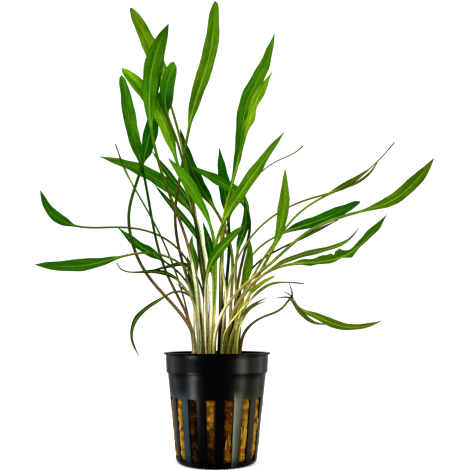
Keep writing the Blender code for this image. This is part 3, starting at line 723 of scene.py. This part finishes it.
# upright and leaning leaves of the middle and the back
leaf("leaf_28", "mid", "lightDark", (1.6, 2.4), 14, 1.7, (0.46, 10.4), -40,
     [(2.2, 90), (5, 131), (12, 163), (16.2, 189), (24, 206), (31.4, 229)],
     peak=0.6, foot=0.42, tone=0.81, warm=0.94, end=1.2, dryTip=0.02, fineRib=1.6, footHue=0.5, endHue=1.7)
leaf("leaf_29", "dry", "straw", (0.2, -2.4), -16, 0.6, (0.95, 0.5), 0,
     [(1, 80), (4, 117), (16, 140), (31, 154), (44, 161), (46, 163)], dryTip=0.9, dryTone="grey")
leaf("leaf_30", "deep", "yellowBrown", (7.4, 4.4), 44, 1.7, (0.6, 8.4), 40,
     [(7.1, 80), (7.3, 105), (0, 125), (-10, 141), (-21, 173)],
     tone=0.85, warm=0.4, foot=1.3, end=0.75, fineRib=1.9, footHue=0.6)
leaf("leaf_31", "mid", "barky", (8.0, 7.6), 30, 1.6, (0.62, 8.0), 40,
     [(9, 74), (14, 104), (17, 120), (12, 134), (0, 143.5), (-16, 152)],
     tone=0.8, warm=0.8, foot=1.18, end=0.97, fineRib=1.5)
leaf("leaf_32", "deep", "emerald", (3.6, 7.8), 48, 1.8, (0.62, 9.6), 38,
     [(4, 80), (6, 115), (3.5, 138), (0.5, 162)], tone=0.87, warm=0.4, end=1.6, foot=1.12, fineRib=2.0)
leaf("leaf_33", "deep", "olive", (10.8, 5.0), 16, 1.5, (0.64, 6.0), -40,
     [(10, 80), (11, 107), (15, 121), (14, 133)], tone=0.98, warm=0.4, foot=1.3, end=0.67)
# leaves of the right side
leaf("leaf_34", "dry", "olive", (3.2, -0.4), 14, 1.1, (0.82, 1.6), 0,
     [(4, 76), (10, 100), (24, 119.6), (46, 132.4), (72, 141), (82, 148), (87, 155)],
     dryTip=0.12, tone=0.26, warm=1.41)
leaf("leaf_35", "mid", "yellow", (5.8, -2.2), 2, 1.2, (0.66, 3.6), -35,
     [(13, 80.4), (30.6, 110.6), (45.6, 127.6), (64.6, 138.8), (78.6, 147.6), (86.5, 154.5), (96, 165)],
     thread=0.35, dryTip=0.38, dryTone="brown", tone=0.41, warm=2.07, foot=1.43)
leaf("leaf_36", "mid", "dullCream", (-1.0, -13.9), -8, 1.6, (0.66, 8.6), -42,
     [(-0.2, 66), (8, 81), (28.6, 99.4), (47.6, 115.4), (71.8, 125.4), (93.4, 132.6), (106.6, 143.4),
      (117, 156)], peak=0.6, tone=0.84, warm=2.12, foot=0.75, end=0.76, dryTip=0.05)
leaf("leaf_37", "deep", "olive", (9.2, 1.6), 34, 1.2, (0.6, 9.2), -45,
     [(11, 74), (19, 104), (35, 115), (55, 122), (76, 132)],
     peak=0.6, blunt=True, dryTip=0.04, tone=1.41, warm=1.86, foot=0.48, end=0.84)
leaf("leaf_38", "deep", "dark", (5.8, 1.6), 22, 1.0, (0.7, 2.2), -30,
     [(9, 73), (19, 97), (36, 108), (64, 122)], tone=0.5, warm=1.2, dryTip=0.3, dryTone="grey")
leaf("leaf_39", "dry", "olive", (3.0, -4.2), -6, 1.2, (0.46, 3.6), -40,
     [(6, 66), (19, 88), (38, 101), (60, 107), (70, 112), (75, 118)],
     dryTip=0.16, tone=0.82, warm=0.89, foot=1.49)
leaf("leaf_40", "mid", "yellowBrown", (5.4, -6.2), -36, 1.4, (0.48, 7.8), -42,
     [(6, 66), (18, 88), (33, 97), (50, 99), (66.6, 102.6), (81, 114), (90, 125)],
     wave=1.5, dryTip=0.05, tone=0.66, warm=1.48, foot=1.11, end=0.92, footHue=1.5)
leaf("leaf_41", "bright", "yellow", (8.0, -6.8), -22, 1.2, (0.66, 2.5), -35,
     [(11, 69), (19, 85), (30, 92)], blunt=True, tone=0.75, warm=1.8, foot=0.53)
leaf("leaf_42", "deep", "yellow", (2.8, -9.4), -32, 1.0, (0.5, 1.8), -35,
     [(4, 63), (14, 76), (26, 87), (45, 88)],
     thread=0.2, dryTip=0.24, dryTone="grey", tone=0.53, warm=1.1, foot=1.18, tint="dry")
leaf("leaf_43", "deep", "yellowBrown", (5.2, -9.0), -18, 0.9, (0.5, 1.4), -35,
     [(9, 66), (17, 76), (26, 81)], tone=0.45, tint="dry")
leaf("leaf_44", "deep", "yellow", (10.4, -6.0), -32, 0.9, (0.5, 1.3), -35,
     [(11, 62), (17, 75), (25, 79)], tone=0.45, tint="dry")
leaf("leaf_45", "mid", "wire", (11.6, -2.6), -24, 1.1, (0.5, 5.6), -45,
     [(14.5, 64), (24, 71), (35, 77), (38, 80), (41, 77), (49, 72), (64, 66), (76, 66), (85, 69)],
     tone=0.7, warm=2.54, foot=1.26, end=1.04, dryTip=0.03)
leaf("leaf_46", "dry", "wire", (11.8, 0.8), -6, 1.1, (0.58, 2.6), -30,
     [(15, 64), (24, 71), (35, 77), (38, 80), (41, 76), (44, 72), (50, 68), (57, 67)],
     dryTip=0.2, tone=0.39, warm=1.23)

# torn edges: (along the blade, share of the width on the upper side, and on the lower side)
tears = dict(leaf_40=[
    (0.05, 1.0, 0.3), (0.16, 0.92, 0.33), (0.22, 0.92, 0.49), (0.28, 0.93, 0.69), (0.33, 1.0, 0.86),
    (0.37, 1.0, 0.7), (0.405, 1.15, 0.45), (0.43, 0.6, 0.35), (0.455, 1.15, 0.22), (0.475, 0.9, 0.15),
    (0.49, 1.2, 0.12), (0.52, 0.7, 0.37), (0.56, 0.47, 0.84), (0.60, 0.61, 0.6), (0.65, 0.87, 0.5),
    (0.70, 1.0, 0.57), (0.76, 1.1, 0.6), (0.82, 1.0, 0.73), (0.90, 1.0, 1.0)])
# torn bits where the bent leaf folds
shreds = dict(
    leaf="leaf_45", radius=0.58, depth=-7.5, tint=(50, 60, 24), sides=5, steps=8, taper=0.3,
    threads=[[(38, 80), (38, 83), (36.6, 87.5)], [(38, 80), (35, 80.6), (30, 80)],
             [(38.5, 79.6), (36, 82.4), (34, 83)]])


def leafLine(row, ringStep):
    # the route is read in the upright plane through the pot's axis, then carried along the line of sight
    base, route = row["base"], row["route"]
    front = np.array([(base[0], woolHeight(*base)), *route], dtype=float)
    reach = travelled(front)
    share = reach / reach[-1]
    depth = base[1] + (row["tip"] - base[1]) * share ** leafRules["depthEase"]
    sight = np.array(view["place"])
    flat = np.column_stack([front[:, 0], np.zeros(len(front)), front[:, 1]])
    points = sight + (flat - sight) * (1.0 - depth / sight[1])[:, None]
    points[0] = base[0], base[1], front[0, 1] + leafRules["standOff"]
    rings = max(leafRules["leastRings"], round(reach[-1] / ringStep))
    return spline(share, points, np.linspace(0.0, 1.0, rings + 1)), rings


def outline(along, row):
    # half width along a blade as a share of the widest; the end may have withered to a thread
    green = min(1.0, along / (1.0 - row["thread"]))
    wave = math.sin(math.pi * green ** (math.log(0.5) / math.log(row["peak"])))
    return max(0.0, wave) ** leafRules["bluntTip" if row["blunt"] else "pointedTip"]


def leafTint(row, along, height, flare, worn):
    # the stalk's colour runs into the blade's, and that into the dry tip's
    # painted light and shade: the blade is darker or lighter near its foot and end as the row's foot and end
    # say, and its tone is partly painted light and shade too
    light = float(np.interp(along, leafRules["shadePlaces"], (row["foot"], 1.0, row["end"])))
    hue = float(np.interp(along, leafRules["shadePlaces"], (row["footHue"], 1.0, row["endHue"])))
    gains = row["warm"] * hue, 1.0, 1.0
    blade = [value * row["tone"] * light * gain for value, gain in zip(bladeTints[row["tint"]], gains)]
    tint = mixTint(tintAt(stalkTints[row["stalk"]], height), blade, flare * leafRules["greening"])
    if not row["dryTip"]:
        return tint
    dry = 2.0 * ((along - 1.0) / row["dryTip"] + 1.0 + leafRules["frayed"] * worn)
    return mixTint(tint, linear(*dryTints[row["dryTone"] or "brown"]), dry)


def addShreds(shape, placeLayer, tintLayer):
    for thread in shreds["threads"]:
        route = [(x, shreds["depth"], z) for x, z in thread]
        made = strand(shape, route, shreds["radius"], shreds["sides"], shreds["steps"], shreds["taper"])
        for point in made:
            point[placeLayer] = (0.0, point.co.z / mm, 0.0)
            point[tintLayer] = (*linear(*shreds["tint"]), 0.0)


def buildLeaf(name, row, material, chance):
    rules, torn = leafRules, tears.get(name)
    start, width, stem = row["start"], row["width"], row["stem"]
    line, rings = leafLine(row, rules["tornRingStep" if torn else "ringStep"])
    tangents = np.gradient(line, axis=0)
    tangents /= np.linalg.norm(tangents, axis=1)[:, None]
    reaches = travelled(line)
    sight = Vector(view["place"])
    shape = bmesh.new()
    placeLayer = shape.verts.layers.float_vector.new("leafPlace")
    tintLayer = shape.verts.layers.float_color.new("leafTint")
    shareLayer = shape.verts.layers.float.new("bladeShare")
    points = tube(shape, rules["around"], rings)
    seed = Vector((chance.uniform(0, 90), chance.uniform(0, 90), 0.0))
    twist = chance.uniform(-rules["twist"], rules["twist"]) * min(1.0, width / rules["twistedWidth"])
    waveLength = chance.uniform(*rules["waveLength"])
    # narrow blades have a finer midrib
    ribScale = max(1.0, rules["ribbedWidth"] / width) * row["fineRib"]
    for point in points:
        share = point.co.z + 0.5
        ring = round(share * rings)
        reach = float(reaches[ring])
        centre, tangent = Vector(line[ring]), Vector(tangents[ring])
        across = (sight - centre).cross(tangent).normalized()
        facing = tangent.cross(across)
        roll = math.radians(row["roll"] + twist * (share - rules["twistCentre"]))
        side = across * math.cos(roll) + facing * math.sin(roll)
        upward = facing * math.cos(roll) - across * math.sin(roll)
        # the round stalk, with a shallow gutter down its upper side
        angle = math.atan2(point.co.y, point.co.x)
        flank, lift = math.cos(angle), math.sin(angle)
        swell = 1.0 + (rules["baseSwell"] - 1.0) * max(0.0, 1.0 - share / rules["swellLength"])
        radius = 0.5 * stem * swell
        x, z = radius * flank, radius * (lift - rules["gutter"] * max(0.0, lift) ** 3)
        along = max(0.0, (share - start) / (1.0 - start))
        flare = min(1.0, along / rules["flare"])
        flare = flare * flare * (3.0 - 2.0 * flare)
        if flare > 0.0:
            # the thin blade, with its midrib, keel and wavy edges
            least = rules["threadHalfWidth" if row["dryTone"] else "tipHalfWidth"]
            half = max(outline(along, row) * 0.5 * width, radius * (1.0 - flare), least)
            if torn:
                places, above, below = zip(*torn)
                half *= float(np.interp(along, places, above if flank > 0.0 else below))
            spread = math.copysign(abs(flank) ** rules["spreadPower"], flank)
            bladeX = half * spread
            full = abs(lift) ** rules["sectionPower"]
            rise = rules["edgeThickness"] + (1.0 - rules["edgeThickness"]) * full
            thick = rules["thickness"] * rise * (1.0 - rules["tipThinning"] * along)
            thick *= min(1.0, abs(lift) * rules["edgeSharpness"])
            rib = math.exp(-(bladeX / rules["ribWidth"]) ** 2) * math.sqrt(max(0.0, 1.0 - along))
            bladeZ = math.copysign(thick, lift) - rib * rules["ribDepth" if lift < 0.0 else "grooveDepth"]
            lag = 0.0 if flank > 0.0 else rules["waveLag"]
            ripple = math.sin(reach / waveLength * math.tau + lag + seed.x)
            crimp = noise.noise(Vector((reach * rules["crimpScale"], 0.0, 0.0)) + seed)
            wave = row["wave"] * abs(spread) ** 3 * min(1.0, half / rules["wavedHalfWidth"])
            bladeZ += rules["keel"] * abs(bladeX) + wave * (rules["rippleShare"] * ripple + crimp)
            x += (bladeX - x) * flare
            z += (bladeZ - z) * flare
        if ring == 0:
            centre.z -= rules["sink"]
        worn = noise.noise(Vector((x * rules["frayScale"][0], reach * rules["frayScale"][1], 0.0)) + seed)
        point[placeLayer] = (x * ribScale, reach, lift)
        point[shareLayer] = along
        point[tintLayer] = (*leafTint(row, along, centre.z, flare, worn), abs(flank))
        spot = (centre + side * x + upward * z) * mm
        # never past the part's box
        point.co = [min(max(value, low), high) for value, low, high in zip(spot, *cadBox)]
    if name == shreds["leaf"]:
        addShreds(shape, placeLayer, tintLayer)
    addPiece(name + "_fine", shape, material, "leaf_" + row["look"], name)


# patches on the blade: the pattern, where it ends, how strong, and what it multiplies the colour by
bladePatches = dict(
    mottle=dict(noise=((0.35, 0.09, 0.3), 3.0, 0.5), span=(0.38, 0.66), gain=0.85, tint=(0.42, 0.6, 0.5)),
    cloud=dict(noise=((0.7, 0.196, 0.7), 4.0, 0.62), span=(0.5, 0.72), gain=0.5, tint=(1.65, 1.3, 1.0)),
    fine=dict(noise=((2.6, 0.16, 0.0), 4.0, 0.6), span=(0.42, 0.62), gain=0.5, tint=(1.4, 1.24, 1.0)))
# blotches, streaks and specks on the stalk; low is added to their strength near the wool
stalkPatches = [
    dict(noise=((1.3, 0.2, 1.3), 4.0, 0.7), span=(0.54, 0.62), gain=0.0, low=0.4, tint=(0.46, 0.34, 0.2)),
    dict(noise=((2.2, 0.06, 0.0), 4.0, 0.65), span=(0.5, 0.66), gain=0.5, low=0.2, tint=(0.5, 0.42, 0.3)),
    dict(noise=((1.44, 0.8, 1.44), 2.0, 0.5), span=(0.56, 0.64), gain=0.65, low=0.0, tint=(0.4, 0.3, 0.22))]
leafFinish = dict(
    specular=0.0, bladeFoot=(0.02, 0.16), pale=(160, 196, 60), paleShare=0.55,
    ribGain=0.5, ribWidth=0.95, ribTaper=0.7, ribEnd=(0.7, 0.98), ribFading=((0.0, 0.07, 0.0), 2.0, 0.5),
    veinCount=15.7, veinSharpness=7.0, veinEnd=(0.86, 1.0),
    rimSpan=(0.82, 1.0), rimGain=0.45, rimTint=(0.45, 0.6, 0.5), underGain=0.3, underTint=(1.5, 1.2, 0.9),
    # the side values paint shade on the flanks of the stalks, with more of it near the wool
    sideShadeSpan=(0.6, 1.0), sideShadeGain=0.5, sideShadeLow=0.45, sideShadeTint=(0.26, 0.2, 0.12), lowEnds=(0.06, 0.1),
    bump=0.00012, bumpStrength=0.3)


def leafLook(kind, veinGain, roughness):
    rules = leafFinish
    look = Look("leaf_%s_fine" % kind, bladeTints[kind], rules["specular"])
    place = look.attribute("leafPlace")
    colour = look.attribute("leafTint", "Color")
    edge = look.attribute("leafTint", "Alpha")
    share = look.attribute("bladeShare", "Fac")
    inBlade = share.span(*rules["bladeFoot"])
    # midrib: a pale line that thins out towards the tip
    fading = look.noise(place, *rules["ribFading"]).span(0.3, 0.65)
    fromRib = look.axis(place, "X").abs() / (rules["ribWidth"] - rules["ribTaper"] * share)
    rib = (1.0 - fromRib.span(0.2, 1.0)) * inBlade * (1.0 - share.span(*rules["ribEnd"]))
    rib = rib * (0.5 + 0.5 * fading)
    # long veins follow the outline and meet at the tip
    veins = (edge * rules["veinCount"]).sin().abs() ** rules["veinSharpness"]
    veins = veins * inBlade * (1.0 - edge.span(*rules["veinEnd"]))
    patterns = {}
    for name, patch in bladePatches.items():
        patterns[name] = look.noise(place, *patch["noise"])
        colour = look.tinted(patch["gain"] * patterns[name].span(*patch["span"]), colour, patch["tint"])
    pale = look.blend(rules["paleShare"], colour, linear(*rules["pale"]))
    colour = look.blend(rib * rules["ribGain"], colour, pale)
    colour = look.blend(veins * veinGain, colour, pale)
    colour = look.tinted(edge.span(*rules["rimSpan"]) * inBlade * rules["rimGain"], colour, rules["rimTint"])
    under = 1.0 - look.axis(place, "Z").span(-0.3, 0.1)
    colour = look.tinted(under * inBlade * rules["underGain"], colour, rules["underTint"])
    # painted shade: stalks are darker at both sides, more so near the wool; they are also streaked and
    # spotted with brown
    onStalk = 1.0 - inBlade
    low = 1.0 - look.axis(look.place(), "Z").span(*rules["lowEnds"])
    sides = edge.span(*rules["sideShadeSpan"]) * onStalk * (rules["sideShadeGain"] + rules["sideShadeLow"] * low)
    colour = look.tinted(sides, colour, rules["sideShadeTint"])
    for patch in stalkPatches:
        spots = look.noise(place, *patch["noise"]).span(*patch["span"]) * onStalk
        colour = look.tinted(spots * (patch["gain"] + patch["low"] * low), colour, patch["tint"])
    rough = roughness + 0.16 * patterns["fine"] - 0.08 * veins + 0.1 * onStalk
    height = 0.7 * patterns["mottle"] + 0.9 * veins - 0.6 * rib
    return look.finish(colour, rough, height, rules["bump"], rules["bumpStrength"])


# Floor and light

studio = dict(
    floorSize=12.0, nearTone=(222, 223, 224), farTone=(251, 251, 252), sweep=(0.25, 1.6), specular=0.1,
    grain=(160.0, 3.0, 0.5), worldTone=(0.985, 0.99, 1.0), worldStrength=0.88, aim=(0.0, 0.0, 0.10),
    contrast="High Contrast")
lamps = dict(
    key=dict(place=(-0.35, -0.45, 0.70), size=0.24, tall=0.24, power=2.2, tone=(1.0, 0.985, 0.95)),
    leftStrip=dict(place=(-0.140, -0.097, 0.03), size=0.045, tall=0.10, power=0.1, tone=(0.9, 1.0, 0.86)),
    leftNear=dict(place=(-0.062, -0.053, 0.013), size=0.018, tall=0.026, power=0.14, tone=(1.0, 1.0, 0.86)),
    leftSide=dict(place=(-0.158, 0.01, 0.05), size=0.14, tall=0.12, power=0.28, tone=(0.8, 0.94, 1.0)),
    rightStrip=dict(place=(0.140, -0.102, 0.03), size=0.05, tall=0.10, power=0.8, tone=(1.0, 1.0, 0.84)),
    rightNear=dict(place=(0.066, -0.048, 0.02), size=0.016, tall=0.04, power=0.06, tone=(1.0, 1.0, 0.84)),
    rightSide=dict(place=(0.160, 0.02, 0.05), size=0.12, tall=0.12, power=0.35, tone=(1.0, 1.0, 0.84)),
    leftFill=dict(place=(-0.43, -0.27, 0.16), size=0.1, tall=0.42, power=2.4, tone=(1.0, 1.0, 1.0)),
    rightFill=dict(place=(0.46, -0.21, 0.16), size=0.1, tall=0.42, power=2.0, tone=(1.0, 1.0, 1.0)),
    top=dict(place=(0.10, 0.15, 0.80), size=0.3, tall=0.3, power=1.6, tone=(1.0, 1.0, 1.0)),
    back=dict(place=(0.30, 0.60, 0.40), size=0.3, tall=0.3, power=1.4, tone=(1.0, 1.0, 0.97)))
# these only show as streaks on the shiny pot
glossLamps = "leftStrip", "leftNear", "leftSide", "rightStrip", "rightNear", "rightSide"


def addLamp(name, lamp):
    glossOnly = name in glossLamps
    aim = (0.0, 0.0, lamp["place"][2]) if glossOnly else studio["aim"]
    data = bpy.data.lights.new(name, "AREA")
    data.shape = "RECTANGLE"
    data.size = lamp["size"]
    data.size_y = lamp["tall"]
    data.energy = lamp["power"]
    data.color = lamp["tone"]
    light = bpy.data.objects.new(name, data)
    light.location = lamp["place"]
    light.rotation_euler = (Vector(aim) - Vector(lamp["place"])).to_track_quat("-Z", "Y").to_euler()
    light.visible_diffuse = not glossOnly
    light.visible_camera = False
    bpy.context.scene.collection.objects.link(light)


def addStudio():
    bpy.ops.mesh.primitive_plane_add(size=studio["floorSize"])
    floor = bpy.context.object
    floor.name = "floor"
    # the paper is a little paler further out, where less light falls on it
    look = Look("floor_paper", linear(*studio["nearTone"]), studio["specular"])
    place = look.place()
    away = (look.axis(place, "X") ** 2.0 + look.axis(place, "Y") ** 2.0) ** 0.5
    tone = look.blend(away.span(*studio["sweep"]), linear(*studio["nearTone"]), linear(*studio["farTone"]))
    floor.data.materials.append(look.finish(tone, 0.8 + 0.08 * look.noise(place, *studio["grain"])))
    world = bpy.data.worlds.new("studio")
    bpy.context.scene.world = world
    world.use_nodes = True
    background = world.node_tree.nodes["Background"]
    background.inputs["Color"].default_value = (*studio["worldTone"], 1.0)
    background.inputs["Strength"].default_value = studio["worldStrength"]
    for name, lamp in lamps.items():
        addLamp(name, lamp)
    shown = bpy.context.scene.view_settings
    shown.view_transform = "Standard"
    shown.look = studio["contrast"]
    shown.exposure = 0.0


chance = random.Random(46)
print("camera and studio")
addCamera()
addStudio()
print("net pot")
buildPot(potLook())
print("growing wool")
buildWool(woolLook())
print("roots and fibres")
strands = strandLook()
buildRoots(strands, chance)
buildFibres(strands, chance)
print("leaves")
looks = dict(deep=leafLook("deep", 0.16, 0.36), mid=leafLook("mid", 0.2, 0.38),
             bright=leafLook("bright", 0.22, 0.42), dry=leafLook("dry", 0.2, 0.55))
for name, row in leaves.items():
    buildLeaf(name, row, looks[row["look"]], chance)
